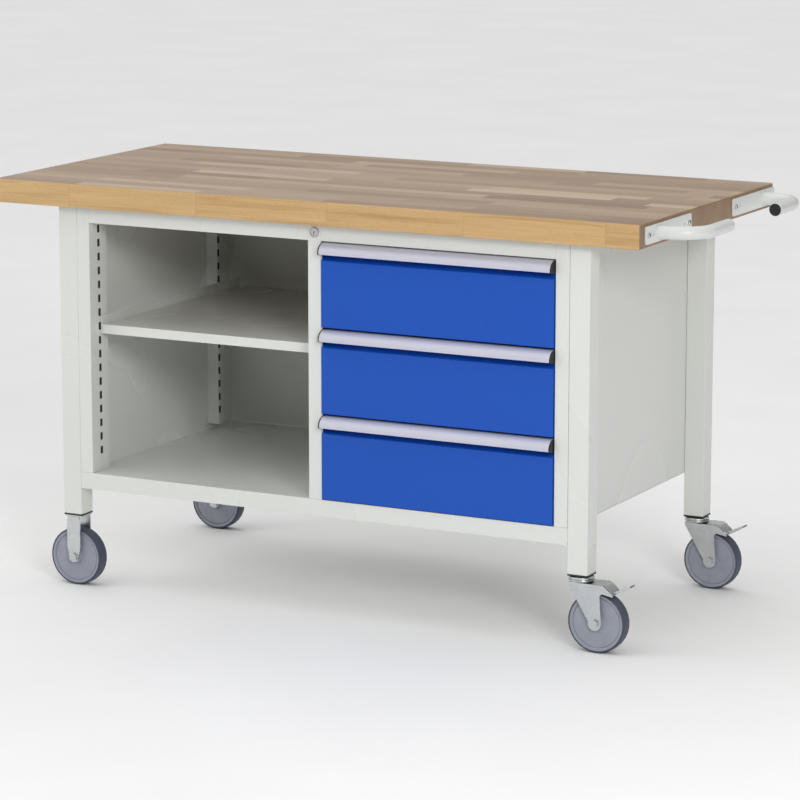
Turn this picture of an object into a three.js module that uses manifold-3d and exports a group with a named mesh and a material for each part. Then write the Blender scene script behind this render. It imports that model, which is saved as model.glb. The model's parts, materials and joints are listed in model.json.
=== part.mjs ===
// Mobile workbench with a beech top, an open compartment with a shelf and three drawers.
// Millimetres, +Z up, the front faces -Y, the push handles are at the +X end.
import * as THREE from "three";
import { mergeVertices } from "three/addons/utils/BufferGeometryUtils.js";
import Module from "manifold-3d";

const wasm = await Module();
wasm.setup();

// Worktop
const topLength = 1500;
const topDepth = 700;
const topThickness = 50;
const totalHeight = 880;

// Clearances between separate pieces
const seat = 0.3;
const spin = 0.3;

// Frame
const legSize = 45;
const legWall = 2;
const leftOverhang = 143.5;
const rightOverhang = 116.5;
const frontSetback = 29;
const legCapThickness = 3.4;
const legCapPlug = 20;

// Cabinet
const sheet = 1.5;
const stileWidth = 30;
const railHeight = 35;
const railReturn = 38;
const openingHeight = 542;
const floorFlange = 35;
const floorReturn = 18;
const frontUprightDepth = 67;
const rearUprightDepth = 16;
const rearUprightFlange = 19;
const rearUprightSet = 93;
const rearUprightLift = 12;
const slotPitch = 30;
const slotCount = 17;
const slotWidth = 10.6;
const slotHeight = 16.5;
const slotSet = 38;
const rearSlotSet = 7.2;
const topSlotDrop = 52;

// Shelf
const shelfSurface = 572;
const shelfRim = 19;
const shelfFlange = 20;
const shelfSideGap = 1.3;
const shelfBackGap = 11;
const shelfHoleRadius = 6;
const shelfHoleSet = 14;

// Drawers
const drawerCount = 3;
const frontSideGap = 2;
const frontProud = 3;
const frontBottomGap = 2.3;
const foldRadius = 3;
const frontPocket = 17;
const leanTop = 30;
const leanBottom = 40;
const leanSet = 13;
const handleTopGap = 2.7;
const handleReach = 20;
const handleDrop = 25.3;
const handleWall = 2;
const endCapThickness = 2.5;
const trayBackGap = 82;
const trayTopDrop = 48;
const trayLift = 14;
const slideWidth = 13.5;
const slideHeight = 45;
const slideLift = 27;
const slideStart = 18;
const slideBackGap = 72;
const memberGap = 0.8;
const innerRailHeight = 26;
const innerRailWidth = 6;

// Lock
const lockRadius = 11;
const lockBodyRadius = 10;
const lockDrop = 18;
const lockFlange = 2.5;
const lockDepth = 22;
const barrelRadius = 7.4;
const camLength = 11.5;

// Push handles
const tubeRadius = 13.5;
const tubeWall = 2;
const bendRadius = 65;
const handleAxisReach = 90;
const plateLength = 226;
const plateHeight = 36;
const plateThickness = 4;
const plateDrop = 25;
const plateCorner = 5;
const frontPlateInset = 24;
const rearPlateInset = 2;
const rootInset = 62;
const armReach = 150;
const plateHole = 3.2;
const plateHoleInset = 35;

// Casters
const wheelRadius = 62.5;
const treadWidth = 32;
const treadThickness = 3.8;
const wheelSides = 30;
const hubWidth = 37;
const axleRadius = 6;
const casterRise = 30;
const swivelHeadHeight = 12;
const forkInside = 39;
const forkSheet = 2.5;
const swivelTrail = 38.5;
const headRadius = 27;
const nutRadius = 9.5;
const nutReach = 6;
const pinRadius = 2.5;
const toeHalf = 12;
const creaseSet = 17;
const creaseInset = 4;

// Derived positions
const casterHeight = 2 * wheelRadius + casterRise;
const coreRadius = wheelRadius - treadThickness;
const endReach = handleAxisReach + tubeRadius;
const topLeft = -(topLength + endReach) / 2;
const topRight = topLeft + topLength;
const topFront = -topDepth / 2;
const topUnderside = totalHeight - topThickness;
const frameFront = topFront + frontSetback;
const frameDepth = topDepth - 2 * frontSetback;
const frameBack = frameFront + frameDepth;
const cabinetLeft = topLeft + leftOverhang + legSize;
const cabinetRight = topRight - rightOverhang - legSize;
const openingTop = topUnderside - railHeight;
const floorTop = openingTop - openingHeight;
const floorBottom = floorTop - floorFlange;
const bayWidth = (cabinetRight - cabinetLeft - 3 * stileWidth) / 2;
const leftBay = cabinetLeft + stileWidth;
const partitionLeft = leftBay + bayWidth;
const rightBay = partitionLeft + stileWidth;
const rightBayEnd = rightBay + bayWidth;
const panelTop = topUnderside - seat;
const panelBottom = floorTop + seat;
const legBottom = casterHeight + legCapThickness + 2 * seat;
const drawerPitch = openingHeight / drawerCount;
const rearUprightFront = frameBack - rearUprightSet - rearUprightDepth;
const slotColumns = [frameFront + slotSet, rearUprightFront + rearSlotSet];
const lockZ = topUnderside - lockDrop;
const lockX = partitionLeft + stileWidth / 2;
const legX = [cabinetLeft - legSize / 2, cabinetRight + legSize / 2];
const legY = [frameFront + legSize / 2, frameBack - legSize / 2];

// Colours of the finishes
const finish = (color, roughness, metalness) => ({ color, roughness, metalness });
const wood = finish(0xb08d62, 0.55, 0);
const lightGrey = finish(0xdcdfd9, 0.45, 0.1);
const blue = finish(0x2659b8, 0.4, 0.1);
const aluminium = finish(0xd0d0da, 0.35, 0.9);
const zinc = finish(0xb9bcc0, 0.35, 0.9);
const chrome = finish(0xd8d8d8, 0.15, 1);
const black = finish(0x191919, 0.6, 0);
const wheelGrey = finish(0x8a8f9e, 0.5, 0);
const treadGrey = finish(0x4c505c, 0.8, 0);

const bench = new THREE.Group();
bench.name = "workbench";

function add(name, geometry, look) {
  const mesh = new THREE.Mesh(geometry, new THREE.MeshStandardMaterial(look));
  mesh.name = name;
  bench.add(mesh);
}

// Solids for adding and cutting
function solid(geometry) {
  const bare = geometry.clone();
  bare.deleteAttribute("normal");
  bare.deleteAttribute("uv");
  const merged = mergeVertices(bare, 1e-4);
  return new wasm.Manifold(
    new wasm.Mesh({
      numProp: 3,
      vertProperties: merged.attributes.position.array,
      triVerts: new Uint32Array(merged.index.array),
    }),
  );
}

function geometryOf(body) {
  const mesh = body.getMesh();
  return new THREE.BufferGeometry()
    .setAttribute("position", new THREE.BufferAttribute(mesh.vertProperties, 3))
    .setIndex(new THREE.BufferAttribute(mesh.triVerts, 1));
}

const joined = (...pieces) => geometryOf(pieces.map(solid).reduce((a, b) => a.add(b)));

const cut = (geometry, ...tools) =>
  geometryOf(tools.map(solid).reduce((a, b) => a.subtract(b), solid(geometry)));

const common = (a, b) => geometryOf(solid(a).intersect(solid(b)));

function box(x0, x1, y0, y1, z0, z1) {
  return new THREE.BoxGeometry(x1 - x0, y1 - y0, z1 - z0).translate(
    (x0 + x1) / 2,
    (y0 + y1) / 2,
    (z0 + z1) / 2,
  );
}

// Prisms of an outline: along X from [y, z] points, along Y from [x, z], along Z from [x, y]
const axisX = new THREE.Vector3(1, 0, 0);
const axisY = new THREE.Vector3(0, 1, 0);
const axisZ = new THREE.Vector3(0, 0, 1);

function extruded(shape, length) {
  return new THREE.ExtrudeGeometry(shape, { depth: length, bevelEnabled: false, curveSegments: 4 });
}

function shapeOf(points) {
  return new THREE.Shape(points.map(([a, b]) => new THREE.Vector2(a, b)));
}

function prismX(points, x0, x1) {
  return extruded(shapeOf(points), x1 - x0)
    .applyMatrix4(new THREE.Matrix4().makeBasis(axisY, axisZ, axisX))
    .translate(x0, 0, 0);
}

function prismY(points, y0, y1) {
  return extruded(shapeOf(points.map(([x, z]) => [z, x])), y1 - y0)
    .applyMatrix4(new THREE.Matrix4().makeBasis(axisZ, axisX, axisY))
    .translate(0, y0, 0);
}

function prismZ(points, z0, z1) {
  return extruded(shapeOf(points), z1 - z0).translate(0, 0, z0);
}

// Turned pieces: [radius, along] points; the axis is Y, or Z when upright
function turned(profile, segments) {
  const area = profile.reduce((sum, [r, h], i) => {
    const [rn, hn] = profile[(i + 1) % profile.length];
    return sum + r * hn - rn * h;
  }, 0);
  const points = (area > 0 ? profile : [...profile].reverse()).map(([r, h]) => new THREE.Vector2(r, h));
  return new THREE.LatheGeometry(points, segments);
}

const closed = (profile) => [...profile, profile[0]];

function cylinderY(radius, x, z, y0, y1, segments) {
  return turned([[0, y0], [radius, y0], [radius, y1], [0, y1]], segments).translate(x, 0, z);
}

// Points of an arc in a plane, angles in degrees
function arc(cx, cy, radius, from, to, steps) {
  return Array.from({ length: steps + 1 }, (_, i) => {
    const angle = THREE.MathUtils.degToRad(from + ((to - from) * i) / steps);
    return [cx + radius * Math.cos(angle), cy + radius * Math.sin(angle)];
  });
}

// Worktop: one glued slab
function buildWorktop() {
  add("worktop", box(topLeft, topRight, topFront, -topFront, topUnderside, totalHeight), wood);
}

// Legs: square tubes standing outside the cabinet's sides, each closed below by a plastic cap
function buildLegs() {
  const half = legSize / 2 - seat;
  const hollow = legSize / 2 - legWall;
  legX.forEach((x, i) =>
    legY.forEach((y, j) => {
      const place = (j ? "rear" : "front") + (i ? "_right" : "_left");
      const tube = box(x - half, x + half, y - legSize / 2, y + legSize / 2, legBottom, panelTop);
      const inside = box(x - hollow, x + hollow, y - hollow, y + hollow, legBottom - 1, panelTop + 1);
      add("leg_" + place, cut(tube, inside), lightGrey);
      const plug = hollow - seat;
      const cap = joined(
        box(x - half, x + half, y - half, y + half, casterHeight + seat, legBottom - seat),
        box(x - plug, x + plug, y - plug, y + plug, legBottom - 1, legBottom + legCapPlug),
      );
      add("leg_cap_" + place, cap, black);
    }),
  );
}

// Slots of the two columns in an upright face at x, as cutting pieces
function slotCutters(x, columns) {
  return columns.flatMap((y) =>
    Array.from({ length: slotCount }, (_, k) => {
      const z = topUnderside - topSlotDrop - k * slotPitch;
      const [y0, y1] = [y - slotWidth / 2, y + slotWidth / 2];
      return box(x - 3, x + 3, y0, y1, z - slotHeight / 2, z + slotHeight / 2);
    }),
  );
}

// Outline of a shelf upright: a channel whose face lies at the inner edge of the stile
function uprightOutline(x, inward, y, depth, flange) {
  const face = x + inward * (stileWidth - sheet - seat);
  const inner = face - inward * sheet;
  const foot = x + inward * sheet;
  return [
    [x, y - flange],
    [foot, y - flange],
    [foot, y],
    [face, y],
    [face, y + depth],
    [x, y + depth],
    [x, y + depth - sheet],
    [inner, y + depth - sheet],
    [inner, y + sheet],
    [x, y + sheet],
  ];
}

const uprights = [
  { place: "front", y: frameFront + sheet + seat, depth: frontUprightDepth, flange: 0, lift: seat },
  {
    place: "rear",
    y: rearUprightFront,
    depth: rearUprightDepth,
    flange: rearUprightFlange,
    lift: rearUprightLift,
  },
];

function upright(inward, { y, depth, flange, lift }) {
  const x = inward > 0 ? cabinetLeft + sheet + seat : cabinetRight - sheet - seat;
  const outline = uprightOutline(x, inward, y, depth, flange);
  const distinct = flange ? outline : outline.slice(2).map((p, i) => (i ? p : [x, y]));
  return prismZ(distinct, floorTop + lift, panelTop);
}

// Cabinet: folded side panels with the stiles, partition, rails, floor and back
function buildCabinet() {
  [1, -1].forEach((inward) => {
    const x = inward > 0 ? cabinetLeft : cabinetRight;
    const outline = [
      [x, frameFront],
      [x + inward * stileWidth, frameFront],
      [x + inward * stileWidth, frameFront + sheet],
      [x + inward * sheet, frameFront + sheet],
      [x + inward * sheet, frameBack],
      [x, frameBack],
    ];
    const side = inward > 0 ? "left" : "right";
    add("side_panel_" + side, prismZ(outline, panelBottom, panelTop), lightGrey);
  });

  const partitionBack = frameBack - sheet - seat;
  const post = box(partitionLeft, rightBay, frameFront, partitionBack, panelBottom, panelTop);
  const inside = box(
    partitionLeft + sheet,
    rightBay - sheet,
    frameFront + sheet,
    partitionBack - sheet,
    panelBottom - 1,
    panelTop + 1,
  );
  const lockHole = cylinderY(lockBodyRadius + spin, lockX, lockZ, frameFront - 3, frameFront + 3, 24);
  add(
    "partition",
    cut(post, inside, lockHole, ...slotCutters(partitionLeft, slotColumns)),
    lightGrey,
  );

  const railOutline = [
    [frameFront, openingTop],
    [frameFront + railReturn, openingTop],
    [frameFront + railReturn, openingTop + sheet],
    [frameFront + sheet, openingTop + sheet],
    [frameFront + sheet, panelTop - sheet],
    [frameFront + railReturn, panelTop - sheet],
    [frameFront + railReturn, panelTop],
    [frameFront, panelTop],
  ];
  add("top_rail_left", prismX(railOutline, leftBay + seat, partitionLeft - seat), lightGrey);
  add("top_rail_right", prismX(railOutline, rightBay + seat, rightBayEnd - seat), lightGrey);

  const floorOutline = [
    [frameFront, floorBottom],
    [frameFront + floorReturn, floorBottom],
    [frameFront + floorReturn, floorBottom + sheet],
    [frameFront + sheet, floorBottom + sheet],
    [frameFront + sheet, floorTop - sheet],
    [frameBack, floorTop - sheet],
    [frameBack, floorTop],
    [frameFront, floorTop],
  ];
  add("floor_panel", prismX(floorOutline, cabinetLeft, cabinetRight), lightGrey);
  const backInset = sheet + seat;
  add(
    "back_panel",
    box(
      cabinetLeft + backInset,
      cabinetRight - backInset,
      frameBack - sheet,
      frameBack,
      panelBottom,
      panelTop,
    ),
    lightGrey,
  );
}

// Slotted uprights of the open compartment
function buildUprights() {
  uprights.forEach((post, i) => {
    const slots = slotCutters(leftBay, [slotColumns[i]]);
    add("upright_" + post.place + "_left", cut(upright(1, post), ...slots), lightGrey);
  });
}

// Shelf: a tray with rims on three sides and a flange folded down at the front
function buildShelf() {
  const x0 = leftBay + shelfSideGap;
  const x1 = partitionLeft - shelfSideGap;
  const y0 = frameFront + slotSet + 2;
  const y1 = frameBack - shelfBackGap;
  const rimTop = shelfSurface + shelfRim;
  const block = box(x0, x1, y0, y1, shelfSurface - shelfFlange, rimTop);
  const above = box(x0 + sheet, x1 - sheet, y0 - 1, y1 - sheet, shelfSurface, rimTop + 1);
  const below = box(
    x0 - 1,
    x1 + 1,
    y0 + sheet,
    y1 + 1,
    shelfSurface - shelfFlange - 1,
    shelfSurface - sheet,
  );
  const holes = [x0 + shelfHoleSet, x1 - shelfHoleSet].map((x) =>
    turned([[0, -5], [shelfHoleRadius, -5], [shelfHoleRadius, 5], [0, 5]], 12)
      .rotateX(Math.PI / 2)
      .translate(x, y1 - shelfHoleSet, shelfSurface),
  );
  add("shelf", cut(block, above, below, ...holes), lightGrey);
}

// Telescopic slides: a fixed channel on the cabinet, a running channel inside it, and a rail on the drawer
const slideOutline = (face, inward, width, height, z) => [
  [face, z - height / 2],
  [face + inward * width, z - height / 2],
  [face + inward * width, z - height / 2 + sheet],
  [face + inward * sheet, z - height / 2 + sheet],
  [face + inward * sheet, z + height / 2 - sheet],
  [face + inward * width, z + height / 2 - sheet],
  [face + inward * width, z + height / 2],
  [face, z + height / 2],
];

const slideZ = (k) => openingTop - (k + 1) * drawerPitch + trayLift + slideLift;
const slideFront = frameFront + slideStart;
const slideBack = frameBack - slideBackGap;

function fixedChannel(inward, k) {
  const face = inward > 0 ? rightBay + sheet : rightBayEnd + sheet / 2;
  const width = inward > 0 ? slideWidth - 2 * sheet : slideWidth - sheet / 2;
  return prismY(slideOutline(face, inward, width, slideHeight, slideZ(k)), slideFront, slideBack);
}

// Runner frames: the fixed channels on their two uprights, at the partition and at the right side
function buildRunnerFrames() {
  const levels = Array.from({ length: drawerCount }, (_, k) => k);
  const strips = uprights.map(({ y, depth }) =>
    box(
      rightBay + seat,
      rightBay + seat + sheet,
      y,
      y + depth,
      floorTop + rearUprightLift,
      openingTop - rearUprightLift,
    ),
  );
  add("runner_frame_left", joined(...strips, ...levels.map((k) => fixedChannel(1, k))), zinc);
  const posts = uprights.map((post) => upright(-1, post));
  const channels = levels.map((k) => fixedChannel(-1, k));
  add("runner_frame_right", joined(...posts, ...channels), zinc);
}

function buildRunningChannels() {
  for (let k = 0; k < drawerCount; k += 1) {
    [1, -1].forEach((inward) => {
      const wall = inward > 0 ? rightBay : rightBayEnd;
      const face = wall + inward * (2 * sheet + memberGap);
      const height = slideHeight - 2 * sheet - 2 * memberGap;
      const width = slideWidth - 3 * sheet - 2 * memberGap;
      const side = inward > 0 ? "_left" : "_right";
      add(
        "running_channel_" + (k + 1) + side,
        prismY(slideOutline(face, inward, width, height, slideZ(k)), slideFront, slideBack),
        zinc,
      );
    });
  }
}

// Drawer front: a folded pan whose top leans back behind the handle, with a rounded outer fold
function frontOutline(top, bottom, inset) {
  const face = frameFront - frontProud + inset;
  const back = frameFront + frontPocket + (inset ? 1 : 0);
  const head = top - handleTopGap - handleWall - seat - inset;
  const slope = inset / 3;
  const foldTop = top - leanBottom - slope;
  const turn = Math.atan2(leanSet + frontProud, leanBottom - leanTop);
  const reach = foldRadius * Math.tan(turn / 2);
  const fold = inset
    ? [[face, foldTop]]
    : arc(face + foldRadius, foldTop - reach, foldRadius, 180, 180 - THREE.MathUtils.radToDeg(turn), 5);
  return [
    [face, bottom + frontBottomGap + inset],
    ...fold,
    [frameFront + leanSet + inset, top - leanTop - slope],
    [frameFront + leanSet + inset, head],
    [back, head],
    [back, bottom + frontBottomGap + inset],
  ];
}

// Handle strip: an aluminium profile bending forward and down to a lip
function handleOutline(top) {
  const crest = top - handleTopGap;
  const lip = top - handleDrop;
  const curve = [
    [2, 0],
    [9, 2.6],
    [14.5, 6.6],
    [18, 11.5],
    [handleReach, 17],
  ];
  const outer = curve.map(([out, down]) => [frameFront - out, crest - down]);
  const inner = [
    [1.7, handleWall],
    [8, handleWall + 2.5],
    [13.2, 8.2],
    [16.3, 12.6],
    [handleReach - handleWall, 17.4],
  ].map(([out, down]) => [frameFront - out, crest - down]);
  return [
    [frameFront + frontPocket, crest - handleWall],
    [frameFront + frontPocket, crest],
    ...outer,
    [frameFront - handleReach, lip],
    [frameFront - handleReach + handleWall, lip],
    ...inner.reverse(),
  ];
}

function buildDrawers() {
  const frontLeft = rightBay + frontSideGap;
  const frontRight = rightBayEnd - frontSideGap;
  const trayLeft = rightBay + slideWidth;
  const trayRight = rightBayEnd - slideWidth;
  const trayFront = frameFront + frontPocket + seat;
  const trayBack = trayFront + frameDepth - trayBackGap;
  for (let k = 0; k < drawerCount; k += 1) {
    const top = openingTop - k * drawerPitch;
    const bottom = top - drawerPitch;
    const name = "drawer_" + (k + 1);
    add(
      name + "_front",
      cut(
        prismX(frontOutline(top, bottom, 0), frontLeft, frontRight),
        prismX(frontOutline(top, bottom, sheet), frontLeft + sheet, frontRight - sheet),
      ),
      blue,
    );
    const handleLeft = frontLeft + endCapThickness;
    const handleRight = frontRight - endCapThickness;
    add(name + "_handle", prismX(handleOutline(top), handleLeft, handleRight), aluminium);
    const trayBottom = bottom + trayLift;
    const trayTop = top - trayTopDrop;
    const shell = cut(
      box(trayLeft, trayRight, trayFront, trayBack, trayBottom, trayTop),
      box(
        trayLeft + sheet,
        trayRight - sheet,
        trayFront + sheet,
        trayBack - sheet,
        trayBottom + sheet,
        trayTop + 1,
      ),
    );
    const z = slideZ(k);
    const railHalf = innerRailHeight / 2;
    const rails = [
      box(trayLeft - innerRailWidth, trayLeft + 1, trayFront, trayBack, z - railHalf, z + railHalf),
      box(trayRight - 1, trayRight + innerRailWidth, trayFront, trayBack, z - railHalf, z + railHalf),
    ];
    add(name + "_tray", joined(shell, ...rails), lightGrey);
  }
}

// Lock in the head of the middle stile
function buildLock() {
  const bore = barrelRadius + spin;
  const housing = turned(
    closed([
      [bore, -lockFlange],
      [lockRadius - 1, -lockFlange],
      [lockRadius, 1 - lockFlange],
      [lockRadius, -seat],
      [lockBodyRadius, -seat],
      [lockBodyRadius, lockDepth],
      [bore, lockDepth],
    ]),
    20,
  ).translate(lockX, frameFront, lockZ);
  add("lock_housing", housing, chrome);
  const barrel = cylinderY(
    barrelRadius,
    lockX,
    lockZ,
    frameFront - lockFlange + 0.6,
    frameFront + lockDepth + 2,
    24,
  );
  const keyway = box(lockX - 0.9, lockX + 0.9, frameFront - 5, frameFront + 4, lockZ - 4.5, lockZ + 3);
  const cam = box(
    lockX - 4,
    lockX + 4,
    frameFront + lockDepth + 1,
    frameFront + lockDepth + 4,
    lockZ - camLength,
    lockZ + 4,
  );
  add("lock_barrel", joined(cut(barrel, keyway), cam), chrome);
}

// Push handles: a bent tube welded to a screw plate; the two are mirror images
class ArmPath extends THREE.Curve {
  constructor(startX, y, toward, z) {
    super();
    this.startX = startX;
    this.y = y;
    this.toward = toward;
    this.z = z;
    this.lead = topRight + handleAxisReach - bendRadius - startX;
    this.bend = (bendRadius * Math.PI) / 2;
    this.tail = armReach - bendRadius;
  }

  getPoint(t) {
    const along = t * (this.lead + this.bend + this.tail);
    const bendX = this.startX + this.lead;
    if (along <= this.lead) return new THREE.Vector3(this.startX + along, this.y, this.z);
    if (along <= this.lead + this.bend) {
      const angle = (along - this.lead) / bendRadius;
      return new THREE.Vector3(
        bendX + bendRadius * Math.sin(angle),
        this.y + this.toward * bendRadius * (1 - Math.cos(angle)),
        this.z,
      );
    }
    const rest = along - this.lead - this.bend;
    return new THREE.Vector3(
      bendX + bendRadius,
      this.y + this.toward * (bendRadius + rest),
      this.z,
    );
  }
}

function ring(radius, wall) {
  const shape = new THREE.Shape();
  shape.absarc(0, 0, radius, 0, Math.PI * 2, false);
  const hole = new THREE.Path();
  hole.absarc(0, 0, radius - wall, 0, Math.PI * 2, true);
  shape.holes.push(hole);
  return shape;
}

function roundedOutline(y0, y1, z0, z1, radius) {
  return [
    ...arc(y0 + radius, z0 + radius, radius, 180, 270, 4),
    ...arc(y1 - radius, z0 + radius, radius, 270, 360, 4),
    ...arc(y1 - radius, z1 - radius, radius, 0, 90, 4),
    ...arc(y0 + radius, z1 - radius, radius, 90, 180, 4),
  ];
}

function buildPushHandles() {
  const z = totalHeight - plateDrop;
  const plateX = topRight + seat;
  [1, -1].forEach((toward) => {
    const outer = toward > 0 ? topFront + frontPlateInset : -topFront - rearPlateInset;
    const inner = outer + toward * plateLength;
    const y0 = Math.min(outer, inner);
    const y1 = Math.max(outer, inner);
    const outline = roundedOutline(y0, y1, z - plateHeight / 2, z + plateHeight / 2, plateCorner);
    const root = outer + toward * rootInset;
    const path = new ArmPath(plateX + plateThickness / 2, root, toward, z);
    const tube = new THREE.ExtrudeGeometry(ring(tubeRadius, tubeWall), {
      steps: 20,
      curveSegments: 8,
      extrudePath: path,
    });
    const holes = [outer + toward * plateHoleInset, inner - toward * plateHoleInset].map((y) =>
      turned([[0, -9], [plateHole, -9], [plateHole, 9], [0, 9]], 16)
        .rotateZ(Math.PI / 2)
        .translate(plateX + plateThickness / 2, y, z),
    );
    const place = toward > 0 ? "front" : "rear";
    const plate = cut(prismX(outline, plateX, plateX + plateThickness), ...holes);
    add("push_handle_" + place, joined(plate, tube), lightGrey);
    const end = root + toward * armReach;
    const plug = turned(
      [
        [0, -10],
        [tubeRadius - tubeWall - seat, -10],
        [tubeRadius - tubeWall - seat, seat],
        [tubeRadius - seat, seat],
        [tubeRadius - 1.5, 2.5],
        [0, 2.5],
      ],
      16,
    );
    if (toward < 0) plug.rotateZ(Math.PI);
    add("handle_plug_" + place, plug.translate(topRight + handleAxisReach, end, z), black);
  });
}

// Wheels: a moulded core on the axle with a tread around it
function wheelCore(x, y) {
  const hub = hubWidth / 2;
  const half = [
    [axleRadius + spin, hub],
    [14, hub],
    [16, 12],
    [coreRadius - 7.8, 11.6],
    [coreRadius - 6.9, 10],
    [coreRadius - 5.6, 13.2],
    [coreRadius, 14.5],
  ];
  const profile = [...half.map(([r, h]) => [r, -h]), ...half.reverse()];
  return turned(closed(profile), wheelSides).translate(x, y, wheelRadius);
}

function wheelTread(x, y) {
  const half = treadWidth / 2;
  const inner = coreRadius + seat;
  const profile = [
    [inner, -half],
    [wheelRadius - 2.4, -half],
    [wheelRadius - 0.8, -half + 2.6],
    [wheelRadius, -half + 8],
    [wheelRadius, half - 8],
    [wheelRadius - 0.8, half - 2.6],
    [wheelRadius - 2.4, half],
    [inner, half],
  ];
  return turned(closed(profile), wheelSides).translate(x, y, wheelRadius);
}

// A fork's two side plates, from one outline given around the wheel's centre plane
function forkPlates(outline, y) {
  const inside = forkInside / 2;
  return [
    prismY(outline, y - inside - forkSheet, y - inside),
    prismY(outline, y + inside, y + inside + forkSheet),
  ];
}

function axle(x, y) {
  const outside = forkInside / 2 + forkSheet;
  return [
    cylinderY(axleRadius, x, wheelRadius, y - outside - 1, y + outside + 1, 20),
    cylinderY(nutRadius, x, wheelRadius, y - outside - nutReach, y - outside + 0.5, 6),
    cylinderY(nutRadius, x, wheelRadius, y + outside - 0.5, y + outside + nutReach, 6),
  ];
}

function fixedFork(x, y) {
  const crown = casterHeight - 3;
  const outline = [
    [x - 13, crown],
    [x - 16.5, crown - 8],
    [x - 16.5, wheelRadius + 22],
    ...arc(x, wheelRadius, 11.5, 195, 345, 7),
    [x + 16.5, wheelRadius + 22],
    [x + 16.5, crown - 8],
    [x + 13, crown],
  ];
  const outside = forkInside / 2 + forkSheet;
  return joined(
    ...forkPlates(outline, y),
    box(x - 13, x + 13, y - outside, y + outside, crown - forkSheet, crown),
    box(x - 20, x + 20, y - 20, y + 20, crown - 0.5, casterHeight),
    ...axle(x, y),
  );
}

const swivelTop = casterHeight - swivelHeadHeight;
const pedalPivot = [40, swivelTop - 7];

// Outline from above of a fork plate on one side of the wheel, bent inwards at a crease
function creasedSheet(x, y, side) {
  const inside = y + (side * forkInside) / 2;
  const outside = inside + side * forkSheet;
  const crease = x + creaseSet;
  const inset = side * creaseInset;
  return [
    [x - 21, inside - inset],
    [crease, inside],
    [x + 90, inside],
    [x + 90, outside],
    [crease, outside],
    [x - 21, outside - inset],
  ];
}

function swivelFork(x, y) {
  const outline = [
    [x - 21, swivelTop],
    [x - 21, swivelTop - 6],
    ...arc(x + swivelTrail, wheelRadius, 14.5, 165, 360, 9),
    [x + 49, swivelTop - 22.5],
    [x + 54, swivelTop - 17.5],
    [x + 77, swivelTop - 22],
    [x + 77, swivelTop - 18],
    [x + 56, swivelTop],
  ];
  const outside = forkInside / 2 + forkSheet;
  const profile = prismY(outline, y - outside, y + outside);
  const plates = [1, -1].map((side) =>
    common(profile, prismZ(creasedSheet(x, y, side), 0, swivelTop)),
  );
  const crown = [
    [x - 21, y - outside + creaseInset],
    [x + creaseSet, y - outside],
    [x + 31, y - outside],
    [x + 31, y + outside],
    [x + creaseSet, y + outside],
    [x - 21, y + outside - creaseInset],
  ];
  return joined(
    ...plates,
    prismZ(crown, swivelTop - forkSheet, swivelTop),
    cylinderY(pinRadius, x + pedalPivot[0], pedalPivot[1], y - outside, y + outside, 12),
    ...axle(x + swivelTrail, y),
  );
}

function swivelHead(x, y) {
  const base = swivelTop + seat;
  return turned(
    [
      [0, base],
      [headRadius - 8, base],
      [headRadius, base + 2],
      [headRadius, base + 4.5],
      [headRadius - 2.5, base + 5.5],
      [headRadius - 1, base + 6.5],
      [headRadius - 1, base + 9.5],
      [headRadius - 4, casterHeight],
      [0, casterHeight],
    ],
    24,
  )
    .rotateX(Math.PI / 2)
    .translate(x, y, 0);
}

// Brake pedal: a cover between the fork's plates, folded down and out to a raised toe, on the fork's pin
function brakePedal(x, y) {
  const z = swivelTop;
  const cover = [
    [x + 32, z + 1.5],
    [x + 55, z + 1.5],
    [x + 62, z - 2.5],
    [x + 74, z - 15],
    [x + 76, z - 20.5],
    [x + 71.5, z - 17],
    [x + 60, z - 5],
    [x + 54, z - 1.5],
    [x + 32, z - 1.5],
  ];
  const toe = [
    [x + 74, z - 15],
    [x + 98, z - 3.5],
    [x + 110, z + 1.5],
    [x + 112, z - 1],
    [x + 103, z - 7],
    [x + 76, z - 20.5],
    [x + 71.5, z - 17],
  ];
  const ear = [
    [x + 33, z],
    [x + 55, z],
    [x + 72, z - 17],
    [x + 67, z - 19],
    [x + 54, z - 15],
    [x + 42, z - 13.5],
    [x + 33, z - 10],
  ];
  const outside = forkInside / 2 - 1;
  return cut(
    joined(
      prismY(cover, y - outside, y + outside),
      prismY(toe, y - toeHalf, y + toeHalf),
      prismY(ear, y - outside, y - outside + sheet),
      prismY(ear, y + outside - sheet, y + outside),
    ),
    cylinderY(pinRadius + spin, x + pedalPivot[0], pedalPivot[1], y - outside - 1, y + outside + 1, 12),
  );
}

function buildCasters() {
  legY.forEach((y, j) => {
    const place = j ? "rear" : "front";
    const [left, right] = legX;
    add("fixed_fork_" + place, fixedFork(left, y), zinc);
    add("swivel_head_" + place, swivelHead(right, y), zinc);
    add("swivel_fork_" + place, swivelFork(right, y), zinc);
    add("brake_pedal_" + place, brakePedal(right, y), zinc);
    const axles = [left, right + swivelTrail];
    axles.forEach((x, i) => {
      const side = place + (i ? "_right" : "_left");
      add("wheel_core_" + side, wheelCore(x, y), wheelGrey);
      add("wheel_tread_" + side, wheelTread(x, y), treadGrey);
    });
  });
}

buildWorktop();
buildLegs();
buildCabinet();
buildUprights();
buildShelf();
buildRunnerFrames();
buildRunningChannels();
buildDrawers();
buildLock();
buildPushHandles();
buildCasters();

export default bench;
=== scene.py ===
"""Looks of the mobile workbench: finishes, edge bevels, small fittings, floor, light and camera.

Metres, in the frame of the CAD model: +X along the worktop, -Y the front, +Z up.
"""

import json
import math

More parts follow.
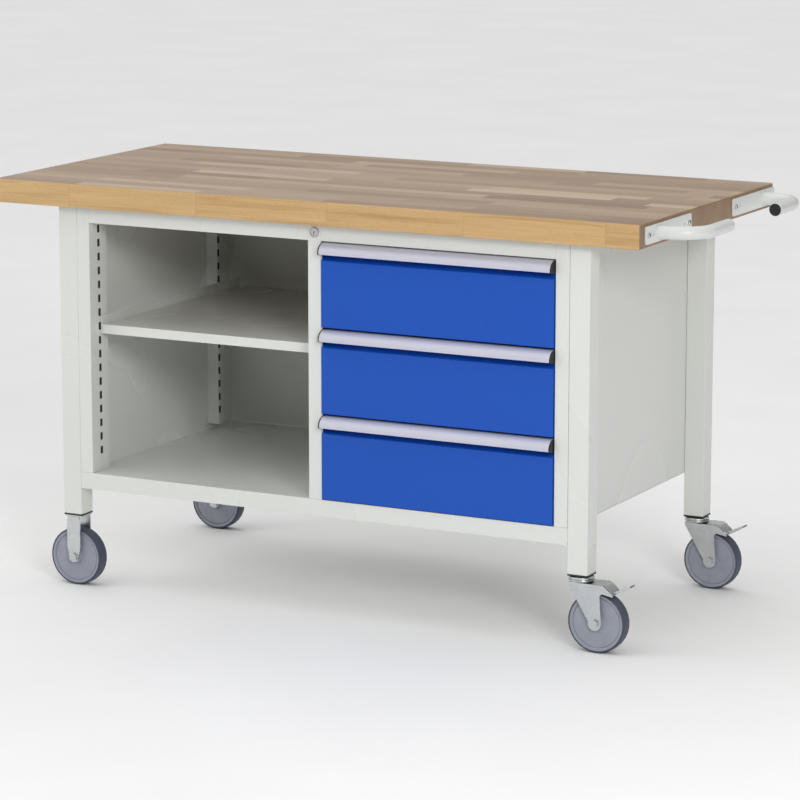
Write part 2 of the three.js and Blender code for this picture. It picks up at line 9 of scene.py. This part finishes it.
import bmesh
import bpy
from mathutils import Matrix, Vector


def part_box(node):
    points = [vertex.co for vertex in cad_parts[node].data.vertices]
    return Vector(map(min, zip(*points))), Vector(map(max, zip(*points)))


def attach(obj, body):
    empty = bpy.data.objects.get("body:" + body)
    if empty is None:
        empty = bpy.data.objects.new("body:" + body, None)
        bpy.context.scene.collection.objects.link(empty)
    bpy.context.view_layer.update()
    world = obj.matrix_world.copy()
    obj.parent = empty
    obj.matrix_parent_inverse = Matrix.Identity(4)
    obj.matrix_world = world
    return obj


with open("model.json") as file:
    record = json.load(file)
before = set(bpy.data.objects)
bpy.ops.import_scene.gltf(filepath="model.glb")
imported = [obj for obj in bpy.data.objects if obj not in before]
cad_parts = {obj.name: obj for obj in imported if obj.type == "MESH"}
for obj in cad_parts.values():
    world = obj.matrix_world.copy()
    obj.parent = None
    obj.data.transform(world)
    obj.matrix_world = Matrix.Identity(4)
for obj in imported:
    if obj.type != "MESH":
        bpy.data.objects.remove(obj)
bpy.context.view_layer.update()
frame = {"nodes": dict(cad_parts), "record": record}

MM = 0.001
NODES = frame["nodes"]
SLOT_OF = {s["node"]: s["material_slot"] for s in frame["record"]["subparts"]}

# Sizes taken from the CAD model's construction
SHEET = 1.5 * MM
HANDLE_REACH = 20 * MM
PLATE_THICKNESS = 4 * MM

# Worktop staves: lanes across Y, lengths between the shortest and the longest along X
LANE_WIDTH = 0.0413
STAVE_SHORTEST = 0.27
STAVE_SPREAD = 0.17
STAVE_SHIFT = 0.6
LANE_OFFSET = 2.0
STAVE_OFFSET = 3.0
LANE_JOINT = 0.491
STAVE_JOINT = 0.4986
STAVE_TONES = (
    (0.0, (0.40, 0.225, 0.098)),
    (0.22, (0.50, 0.308, 0.142)),
    (0.5, (0.575, 0.370, 0.178)),
    (0.8, (0.63, 0.420, 0.212)),
    (1.0, (0.68, 0.475, 0.255)),
)
RING_TONES = (
    (0.30, (0.80, 0.74, 0.64)),
    (0.46, 1.0),
    (0.58, 1.0),
    (0.74, (1.1, 1.12, 1.16)),
)
# Painted sky reflection: blue-grey tints for the worktop's upward faces, one drawn per stave
TOP_SKY_REFLECTION_TONES = (
    (0.0, (0.58, 0.59, 0.70)),
    (0.35, (0.69, 0.72, 0.87)),
    (0.75, (0.78, 0.82, 1.04)),
    (1.0, (0.91, 0.99, 1.30)),
)
EDGE_TONE = (0.61, 0.390, 0.165, 1.0)
FLECK_TONE = (0.30, 0.165, 0.085, 1.0)
JOINT_TONE = (0.24, 0.13, 0.07, 1.0)
# Painted shade: a darker, greyer beech for the worktop's downward faces
UNDERSIDE_PAINTED_SHADE = (0.28, 0.25, 0.21, 1.0)
DUST_TONE = (0.42, 0.41, 0.39, 1.0)

# Edges: where shading breaks, where edges are rounded, and how close corners are welded
SMOOTH_ANGLE = math.radians(35)
BEVEL_ANGLE = math.radians(38)
BEVEL_SEGMENTS = 2
WELD_DISTANCE = 1e-5
DEFAULT_RADIUS_MM = 0.2

# Light: a sky that brightens upwards and towards -X, and two soft boxes
SKY_GRADIENT = ((2, 1.13, 0.05), (0, -0.52, 0.0))
SKY_LEAST = 0.06
SOFTBOXES = (
    ("key", (4.4, -4.8, 3.0), (0.0, 0.0, 0.45), (2.0, 1.6), 165),
    ("side", (-5.4, -3.4, 2.7), (0.0, 0.0, 0.5), (2.6, 2.2), 30),
)
FLOOR_SIZE = 40.0

# Camera
CAMERA_PLACE = (3.41255, -6.5745, 1.8602)
CAMERA_YAW = -0.4797
CAMERA_PITCH = -0.1933
LENS = 158.63
SENSOR = 36.0
FAR = 200.0


# ---------------------------------------------------------------- materials
class Look:
    """A Principled material built from texture nodes in object space."""

    def __init__(self, name, **sockets):
        self.material = bpy.data.materials.new(name)
        self.material.use_nodes = True
        self.tree = self.material.node_tree
        self.shader = self.tree.nodes["Principled BSDF"]
        for socket, value in sockets.items():
            self.shader.inputs[socket.replace("_", " ")].default_value = value
        self.coords = self.tree.nodes.new("ShaderNodeTexCoord")

    def put(self, socket, value):
        if isinstance(value, bpy.types.NodeSocket):
            self.tree.links.new(value, socket)
        else:
            socket.default_value = value

    def node(self, kind, inputs=(), **settings):
        node = self.tree.nodes.new(kind)
        for key, value in settings.items():
            setattr(node, key, value)
        for key, value in dict(inputs).items():
            self.put(node.inputs[key], value)
        return node

    def math(self, operation, a, b=0.0, c=0.0):
        return self.node("ShaderNodeMath", {0: a, 1: b, 2: c}, operation=operation).outputs[0]

    def stretched(self, scale, offset=None):
        """Object coordinates, moved by offset and scaled along each axis."""
        vector = self.coords.outputs["Object"]
        if offset is not None:
            vector = self.node(
                "ShaderNodeVectorMath", {0: vector, 1: offset}, operation="ADD"
            ).outputs[0]
        return self.node(
            "ShaderNodeVectorMath", {0: vector, 1: scale}, operation="MULTIPLY"
        ).outputs[0]

    def noise(self, scale, detail=3.0, offset=None, distortion=0.0):
        node = self.node(
            "ShaderNodeTexNoise",
            {
                "Vector": self.stretched(scale, offset),
                "Scale": 1.0,
                "Detail": detail,
                "Distortion": distortion,
            },
        )
        return node.outputs["Fac"]

    def ramp(self, value, *stops):
        """Colour stops: (position, (r, g, b)) or (position, grey)."""
        node = self.node("ShaderNodeValToRGB", {"Fac": value})
        elements = node.color_ramp.elements
        while len(elements) < len(stops):
            elements.new(0.5)
        for element, (position, colour) in zip(elements, stops):
            rgb = colour if isinstance(colour, tuple) else (colour,) * 3
            element.position = position
            element.color = (*rgb, 1.0)
        return node.outputs["Color"]

    def mix(self, factor, a, b, blend="MIX"):
        node = self.node("ShaderNodeMix", data_type="RGBA", blend_type=blend)
        for socket, value in zip((node.inputs[0], node.inputs[6], node.inputs[7]), (factor, a, b)):
            self.put(socket, value)
        return node.outputs[2]

    def bump(self, height, distance, strength=1.0, below=None):
        inputs = {"Height": height, "Distance": distance, "Strength": strength}
        if below is not None:
            inputs["Normal"] = below
        return self.node("ShaderNodeBump", inputs).outputs["Normal"]

    def finish(self, colour=None, roughness=None, normal=None):
        for name, value in (("Base Color", colour), ("Roughness", roughness), ("Normal", normal)):
            if value is not None:
                self.put(self.shader.inputs[name], value)
        return self.material


def tint(rgb, factor):
    return tuple(min(1.0, c * factor) for c in rgb)


def powder_coat(name, rgb, roughness, gloss=0.5, coat=0.0):
    """Satin powder coat: faint cloudiness, fine specks and a fine peel."""
    look = Look(name, Specular_IOR_Level=gloss, Coat_Weight=coat, Coat_Roughness=0.2)
    cloud = look.noise((3.1, 3.1, 2.3), 1.0)
    base = look.ramp(cloud, (0.05, tint(rgb, 0.985)), (0.95, tint(rgb, 1.013)))
    specks = look.ramp(look.noise((240.0,) * 3, 1.0), (0.1, 0.985), (0.9, 1.0))
    colour = look.mix(1.0, base, specks, "MULTIPLY")
    rough = look.ramp(cloud, (0.05, roughness - 0.02), (0.95, roughness + 0.02))
    peel = look.bump(look.noise((180.0,) * 3, 1.0), 0.00002, 0.2)
    return look.finish(colour, rough, peel)


def beech():
    """Oiled beech glued up from staves: lanes across Y, butt joints along X."""
    look = Look("beech", Specular_IOR_Level=0.5, Coat_Weight=0.12, Coat_Roughness=0.22)
    parts = look.node("ShaderNodeSeparateXYZ", {0: look.coords.outputs["Object"]}).outputs
    lane_at = look.math("DIVIDE", look.math("ADD", parts[1], LANE_OFFSET), LANE_WIDTH)
    lane = look.math("FLOOR", lane_at)
    lane_draw = look.node(
        "ShaderNodeTexWhiteNoise", {"W": lane}, noise_dimensions="1D"
    ).outputs["Color"]
    draws = look.node("ShaderNodeSeparateXYZ", {0: lane_draw}).outputs
    length = look.math("MULTIPLY_ADD", draws[0], STAVE_SPREAD, STAVE_SHORTEST)
    start = look.math("MULTIPLY_ADD", draws[1], STAVE_SHIFT, STAVE_OFFSET)
    stave_at = look.math("DIVIDE", look.math("ADD", parts[0], start), length)
    stave = look.math("FLOOR", stave_at)
    pair = look.node("ShaderNodeCombineXYZ", {0: lane, 1: stave}).outputs[0]
    stave_noise = look.node(
        "ShaderNodeTexWhiteNoise", {"Vector": pair}, noise_dimensions="3D"
    ).outputs
    shift = look.node(
        "ShaderNodeVectorMath",
        {0: stave_noise["Color"], 1: (3.0, 3.0, 3.0)},
        operation="MULTIPLY",
    ).outputs[0]

    tone = look.ramp(stave_noise["Value"], *STAVE_TONES)
    rings = look.noise((1.9, 46.0, 62.0), 5.0, shift, distortion=0.9)
    fibre = look.noise((8.0, 330.0, 330.0), 5.0, shift, distortion=0.3)
    flecks = look.noise((150.0, 1500.0, 900.0), 2.0, shift)
    normal = look.node("ShaderNodeSeparateXYZ", {0: look.coords.outputs["Normal"]}).outputs
    upward = look.math("POWER", look.math("MAXIMUM", normal[2], 0.0), 8.0)
    end = look.math("POWER", look.math("ABSOLUTE", normal[0]), 8.0)
    edge = look.math("POWER", look.math("ABSOLUTE", normal[1]), 8.0)
    tone = look.mix(look.math("MULTIPLY", edge, 0.75), tone, EDGE_TONE)
    streak = look.ramp(rings, *RING_TONES)
    colour = look.mix(0.9, tone, streak, "MULTIPLY")
    colour = look.mix(0.6, colour, look.ramp(fibre, (0.3, 0.80), (0.7, 1.10)), "MULTIPLY")
    colour = look.mix(look.ramp(flecks, (0.6, 0.0), (0.72, 0.5)), colour, FLECK_TONE)

    lane_edge = look.math("ABSOLUTE", look.math("SUBTRACT", look.math("FRACT", lane_at), 0.5))
    stave_edge = look.math("ABSOLUTE", look.math("SUBTRACT", look.math("FRACT", stave_at), 0.5))
    joints = look.math(
        "MAXIMUM",
        look.math("GREATER_THAN", lane_edge, LANE_JOINT),
        look.math("GREATER_THAN", stave_edge, STAVE_JOINT),
    )
    colour = look.mix(look.math("MULTIPLY", joints, 0.32), colour, JOINT_TONE)

    end_grain = look.ramp(
        look.noise((60.0, 300.0, 45.0), 4.0, shift),
        (0.3, (0.175, 0.090, 0.042)),
        (0.7, (0.285, 0.160, 0.085)),
    )
    colour = look.mix(look.math("MULTIPLY", end, 0.88), colour, end_grain)
    # Painted sky reflection: upward faces take a blue-grey tint that varies from stave to stave
    second = look.node("ShaderNodeSeparateXYZ", {0: stave_noise["Color"]}).outputs[1]
    painted_top_reflection = look.ramp(second, *TOP_SKY_REFLECTION_TONES)
    colour = look.mix(upward, colour, painted_top_reflection, "MULTIPLY")
    # Painted shade: downward faces are darker and greyer
    below = look.math("MAXIMUM", look.math("MULTIPLY", normal[2], -1.0), 0.0)
    downward = look.math("POWER", below, 8.0)
    colour = look.mix(look.math("MULTIPLY", downward, 0.7), colour, UNDERSIDE_PAINTED_SHADE)

    rough = look.ramp(rings, (0.3, 0.34), (0.7, 0.46))
    pores = look.bump(fibre, 0.00018, 0.35)
    seams = look.bump(look.math("SUBTRACT", 1.0, joints), 0.00015, 0.5, below=pores)
    return look.finish(colour, rough, seams)


def metal(name, rgb, roughness, grain, streaks, mottling, metallic=1.0):
    """Bare or plated metal: drawn lines along one axis, cloudy tone and fine scratches."""
    look = Look(name, Metallic=metallic)
    clouds = look.noise((38.0, 38.0, 38.0), 4.0, distortion=0.8)
    lines = look.noise(grain, 3.0)
    base = look.ramp(clouds, (0.3, tint(rgb, 1.0 - mottling)), (0.7, tint(rgb, 1.0 + mottling)))
    colour = look.mix(streaks, base, look.ramp(lines, (0.25, 0.86), (0.75, 1.0)), "MULTIPLY")
    rough = look.ramp(
        look.noise(grain, 4.0, distortion=0.3),
        (0.2, roughness - 0.06),
        (0.8, roughness + 0.10),
    )
    scratches = look.bump(lines, 0.00002, 0.2)
    dents = look.bump(look.noise((48.0, 48.0, 48.0), 1.0), 0.0002, 0.05, below=scratches)
    return look.finish(colour, rough, dents)


def moulded(name, rgb, roughness, texture, dust):
    """Moulded plastic or rubber: fine texture, scuffs and a trace of dust."""
    look = Look(name, Specular_IOR_Level=0.4)
    scuffs = look.noise((46.0, 46.0, 46.0), 6.0, distortion=0.7)
    base = look.ramp(scuffs, (0.3, tint(rgb, 0.93)), (0.7, tint(rgb, 1.06)))
    pale = look.ramp(look.noise((14.0, 14.0, 14.0), 5.0), (0.52, 0.0), (0.8, dust))
    colour = look.mix(pale, base, DUST_TONE)
    rough = look.ramp(scuffs, (0.3, roughness - 0.07), (0.7, roughness + 0.08))
    fine = look.bump(look.noise((texture, texture, texture), 3.0), 0.00012, 0.4)
    return look.finish(colour, rough, fine)


BRUSHED = (5.0, 1500.0, 1500.0)
ROLLED = (90.0, 90.0, 500.0)
EVEN = (300.0, 300.0, 300.0)

FINISHES = (
    ("light_grey_paint", powder_coat, ((0.735, 0.748, 0.715), 0.27), {}),
    ("handle_paint", powder_coat, ((0.70, 0.715, 0.70), 0.28), {"coat": 0.1}),
    ("blue_paint", powder_coat, ((0.002, 0.078, 0.470), 0.28), {"gloss": 0.35}),
    ("aluminium", metal, ((0.66, 0.66, 0.76), 0.50, BRUSHED, 0.6, 0.01, 0.45), {}),
    ("zinc", metal, ((0.62, 0.64, 0.645), 0.22, ROLLED, 0.3, 0.06), {}),
    ("chrome", metal, ((0.55, 0.55, 0.56), 0.12, EVEN, 0.2, 0.02), {}),
    ("black_plastic", moulded, ((0.016, 0.016, 0.017), 0.52, 900.0, 0.05), {}),
    ("wheel_plastic", moulded, ((0.300, 0.318, 0.375), 0.40, 700.0, 0.08), {}),
    ("tread_rubber", moulded, ((0.068, 0.076, 0.112), 0.55, 500.0, 0.08), {}),
)
MATERIALS = {"beech": beech()}
for slot_name, kind, values, extra in FINISHES:
    MATERIALS[slot_name] = kind(slot_name, *values, **extra)


def paint(obj, slot):
    """Gives obj the finish of one of the record's material slots."""
    obj.data.materials.clear()
    obj.data.materials.append(MATERIALS[slot])


# ---------------------------------------------------------------- edges of the CAD nodes
def smooth_group():
    """Node group: smooth faces, with the edges sharper than an angle kept sharp."""
    tree = bpy.data.node_groups.new("smooth_below_angle", "GeometryNodeTree")
    tree.interface.new_socket("Geometry", in_out="INPUT", socket_type="NodeSocketGeometry")
    tree.interface.new_socket("Geometry", in_out="OUTPUT", socket_type="NodeSocketGeometry")
    start = tree.nodes.new("NodeGroupInput")
    end = tree.nodes.new("NodeGroupOutput")
    angle = tree.nodes.new("GeometryNodeInputMeshEdgeAngle")
    sharp = tree.nodes.new("FunctionNodeCompare")
    sharp.data_type = "FLOAT"
    sharp.operation = "GREATER_THAN"
    sharp.inputs[1].default_value = SMOOTH_ANGLE
    faces = tree.nodes.new("GeometryNodeSetShadeSmooth")
    faces.domain = "FACE"
    edges = tree.nodes.new("GeometryNodeSetShadeSmooth")
    edges.domain = "EDGE"
    edges.inputs["Shade Smooth"].default_value = False
    link = tree.links.new
    link(start.outputs[0], faces.inputs["Geometry"])
    link(faces.outputs[0], edges.inputs["Geometry"])
    link(angle.outputs["Unsigned Angle"], sharp.inputs[0])
    link(sharp.outputs[0], edges.inputs["Selection"])
    link(edges.outputs[0], end.inputs[0])
    return tree


SMOOTH = smooth_group()

EDGE_RADII = (
    ("worktop", 1.6),
    ("leg_cap", 0.5),
    ("leg_", 1.9),
    ("drawer_1_tray", 0.3),
    ("drawer_2_tray", 0.3),
    ("drawer_3_tray", 0.3),
    ("drawer", 1.2),
    ("side_panel", 0.45),
    ("partition", 0.45),
    ("top_rail", 0.45),
    ("floor_panel", 0.45),
    ("upright", 0.3),
    ("shelf", 0.35),
    ("push_handle", 0.5),
    ("handle_plug", 0.4),
    ("wheel_", 0.6),
    ("fixed_fork", 0.4),
    ("swivel_", 0.5),
    ("brake_pedal", 0.35),
    ("lock_", 0.25),
)


def edge_radius(name):
    return next((r for start, r in EDGE_RADII if name.startswith(start)), DEFAULT_RADIUS_MM) * MM


def ease_edges(obj, radius):
    """Welds split corners, rounds the edges by radius and shades curved faces smooth."""
    weld = obj.modifiers.new("weld", "WELD")
    weld.merge_threshold = WELD_DISTANCE
    smooth = obj.modifiers.new("smooth", "NODES")
    smooth.node_group = SMOOTH
    bevel = obj.modifiers.new("edges", "BEVEL")
    bevel.width = radius
    bevel.segments = BEVEL_SEGMENTS
    bevel.limit_method = "ANGLE"
    bevel.angle_limit = BEVEL_ANGLE
    bevel.use_clamp_overlap = True
    bevel.miter_outer = "MITER_ARC"
    normals = obj.modifiers.new("normals", "WEIGHTED_NORMAL")
    normals.mode = "FACE_AREA_WITH_ANGLE"


for node_name, node in NODES.items():
    paint(node, SLOT_OF[node_name])
    ease_edges(node, edge_radius(node_name))


# ---------------------------------------------------------------- small fittings
def piece(name, mesh, slot, body):
    """A named piece of the object, in the row frame, riding on a CAD body."""
    obj = bpy.data.objects.new(name, mesh)
    bpy.context.scene.collection.objects.link(obj)
    paint(obj, slot)
    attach(obj, body)
    return obj


def mesh_of(bm, name):
    bmesh.ops.recalc_face_normals(bm, faces=bm.faces)
    mesh = bpy.data.meshes.new(name)
    bm.to_mesh(mesh)
    bm.free()
    return mesh


def plate_x(bm, outline, x0, x1):
    """A plate between x0 and x1 with an outline of (y, z) points."""
    rings = [[bm.verts.new((x, y, z)) for y, z in outline] for x in (x0, x1)]
    bm.faces.new(rings[0])
    bm.faces.new(reversed(rings[1]))
    for i in range(len(outline)):
        j = (i + 1) % len(outline)
        bm.faces.new((rings[0][i], rings[0][j], rings[1][j], rings[1][i]))


def revolve(bm, profile, centre, axis, segments=28, star=None):
    """Turns (radius, along) points about an axis through centre; star lists the rings that get six
    lobes.
    """
    turn = Vector((0, 0, 1)).rotation_difference(Vector(axis)).to_matrix()
    rings = []
    for index, (radius, along) in enumerate(profile):
        ring = []
        for k in range(segments):
            angle = 2 * math.pi * k / segments
            r = radius
            if star and index in star:
                r *= 1 + 0.16 * math.cos(6 * angle)
            point = Vector((r * math.cos(angle), r * math.sin(angle), along))
            ring.append(bm.verts.new(Vector(centre) + turn @ point))
        rings.append(ring)
    for a, b in zip(rings, rings[1:]):
        for k in range(segments):
            n = (k + 1) % segments
            bm.faces.new((a[k], a[n], b[n], b[k]))
    bm.faces.new(rings[0])
    bm.faces.new(reversed(rings[-1]))


CAP_PROFILE_MM = (
    (-19.8, -22.4),
    (-19.8, -17.0),
    (-17.8, -11.6),
    (-14.3, -6.8),
    (-8.9, -2.8),
    (-2.0, -0.2),
    (8.4, -0.2),
    (8.4, -23.0),
    (4.0, -24.6),
    (-4.0, -25.6),
    (-11.5, -25.2),
    (-17.0, -24.0),
)


def end_caps(drawer):
    """Black caps closing both ends of a drawer's handle strip."""
    low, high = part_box("drawer_%d_handle" % drawer)
    front_low, front_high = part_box("drawer_%d_front" % drawer)
    face = low.y + HANDLE_REACH
    outline = [(face + y * MM, high.z + z * MM) for y, z in CAP_PROFILE_MM]
    gap = 0.05 * MM
    spans = (
        ("left", front_low.x, low.x - gap),
        ("right", high.x + gap, front_high.x),
    )
    for side, x0, x1 in spans:
        bm = bmesh.new()
        plate_x(bm, outline, x0, x1)
        name = "handle_end_cap_%d_%s" % (drawer, side)
        cap = piece(name, mesh_of(bm, name), "black_plastic", "drawer_%d" % drawer)
        ease_edges(cap, 0.5 * MM)


for number in (1, 2, 3):
    end_caps(number)


def slot_shade_sheet(place, column, half_width):
    """A black sheet behind a column of shelf slots, painted shade for the hollow inside the
    upright, seen only through the slots.
    """
    low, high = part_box("upright_%s_left" % place)
    sheet_back = high.x - SHEET
    bm = bmesh.new()
    y0, y1 = column - half_width, column + half_width
    z0, z1 = low.z + 12 * MM, high.z - 3 * MM
    outline = [(y0, z0), (y1, z0), (y1, z1), (y0, z1)]
    plate_x(bm, outline, sheet_back - 1.3 * MM, sheet_back - 0.3 * MM)
    name = "slot_shade_sheet_" + place
    shade_sheet = piece(name, mesh_of(bm, name), "black_plastic", "bench")
    ease_edges(shade_sheet, 0.15 * MM)


slot_shade_sheet("front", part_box("upright_front_left")[0].y + 36.2 * MM, 6 * MM)
slot_shade_sheet("rear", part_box("upright_rear_left")[1].y - 8.0 * MM, 5.8 * MM)


def plate_screws(place):
    """The bright screws near both ends of a push handle's plate, with recessed star drives."""
    low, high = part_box("push_handle_" + place)
    plate_face = low.x + PLATE_THICKNESS
    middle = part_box("handle_plug_" + place)
    z = (middle[0].z + middle[1].z) / 2
    profile = [
        (5.6 * MM, 0.05 * MM),
        (5.6 * MM, 1.0 * MM),
        (4.9 * MM, 2.4 * MM),
        (3.2 * MM, 3.2 * MM),
        (2.1 * MM, 3.3 * MM),
        (1.9 * MM, 1.2 * MM),
        (0.4 * MM, 1.0 * MM),
    ]
    for index, y in enumerate((low.y + 13 * MM, high.y - 13 * MM)):
        bm = bmesh.new()
        revolve(bm, profile, (plate_face, y, z), (1, 0, 0), star=(4, 5))
        name = "plate_screw_%s_%d" % (place, index + 1)
        screw = piece(name, mesh_of(bm, name), "chrome", "bench")
        ease_edges(screw, 0.15 * MM)


plate_screws("front")
plate_screws("rear")


# ---------------------------------------------------------------- floor, light and camera
def pale_floor():
    look = Look("floor", Specular_IOR_Level=0.1, Roughness=0.9)
    shade = look.ramp(look.noise((2.0, 2.0, 2.0), 4.0), (0.3, 0.90), (0.7, 0.93))
    bm = bmesh.new()
    bmesh.ops.create_grid(bm, x_segments=2, y_segments=2, size=FLOOR_SIZE)
    floor = bpy.data.objects.new("floor", mesh_of(bm, "floor"))
    bpy.context.scene.collection.objects.link(floor)
    for face in floor.data.polygons:
        if face.normal.z < 0:
            floor.data.flip_normals()
            break
    floor.data.materials.append(look.finish(shade))


def softbox(name, place, target, size, power):
    light = bpy.data.lights.new(name, "AREA")
    light.shape = "RECTANGLE"
    light.size, light.size_y = size
    light.energy = power
    obj = bpy.data.objects.new(name, light)
    bpy.context.scene.collection.objects.link(obj)
    obj.location = place
    obj.rotation_euler = (Vector(target) - Vector(place)).to_track_quat("-Z", "Y").to_euler()


def studio():
    world = bpy.data.worlds.new("studio")
    bpy.context.scene.world = world
    world.use_nodes = True
    tree = world.node_tree
    fill = tree.nodes["Background"]
    backdrop = tree.nodes.new("ShaderNodeBackground")
    for shader in (fill, backdrop):
        shader.inputs["Color"].default_value = (1.0, 1.0, 1.0, 1.0)
    way = tree.nodes.new("ShaderNodeTexCoord").outputs["Generated"]
    parts = tree.nodes.new("ShaderNodeSeparateXYZ")
    tree.links.new(way, parts.inputs[0])
    total = None
    for axis, gain, start in SKY_GRADIENT:
        step = tree.nodes.new("ShaderNodeMath")
        step.operation = "MULTIPLY_ADD"
        tree.links.new(parts.outputs[axis], step.inputs[0])
        step.inputs[1].default_value = gain
        if total is None:
            step.inputs[2].default_value = start
        else:
            tree.links.new(total, step.inputs[2])
        total = step.outputs[0]
    at_least = tree.nodes.new("ShaderNodeMath")
    at_least.operation = "MAXIMUM"
    at_least.inputs[1].default_value = SKY_LEAST
    tree.links.new(total, at_least.inputs[0])
    tree.links.new(at_least.outputs[0], fill.inputs["Strength"])
    path = tree.nodes.new("ShaderNodeLightPath")
    mix = tree.nodes.new("ShaderNodeMixShader")
    tree.links.new(path.outputs["Is Camera Ray"], mix.inputs[0])
    tree.links.new(fill.outputs[0], mix.inputs[1])
    tree.links.new(backdrop.outputs[0], mix.inputs[2])
    tree.links.new(mix.outputs[0], tree.nodes["World Output"].inputs["Surface"])
    for name, place, target, size, power in SOFTBOXES:
        softbox(name, place, target, size, power)


def place_camera():
    """A long lens from the right, a little above the worktop."""
    data = bpy.data.cameras.new("camera")
    data.sensor_width = SENSOR
    data.lens = LENS
    data.clip_end = FAR
    camera = bpy.data.objects.new("camera", data)
    bpy.context.scene.collection.objects.link(camera)
    forward = Vector(
        (
            math.sin(CAMERA_YAW) * math.cos(CAMERA_PITCH),
            math.cos(CAMERA_YAW) * math.cos(CAMERA_PITCH),
            math.sin(CAMERA_PITCH),
        )
    )
    camera.location = CAMERA_PLACE
    camera.rotation_euler = forward.to_track_quat("-Z", "Y").to_euler()
    bpy.context.scene.camera = camera


pale_floor()
studio()
place_camera()
bpy.context.scene.view_settings.view_transform = "Standard"
bpy.context.scene.view_settings.look = "None"
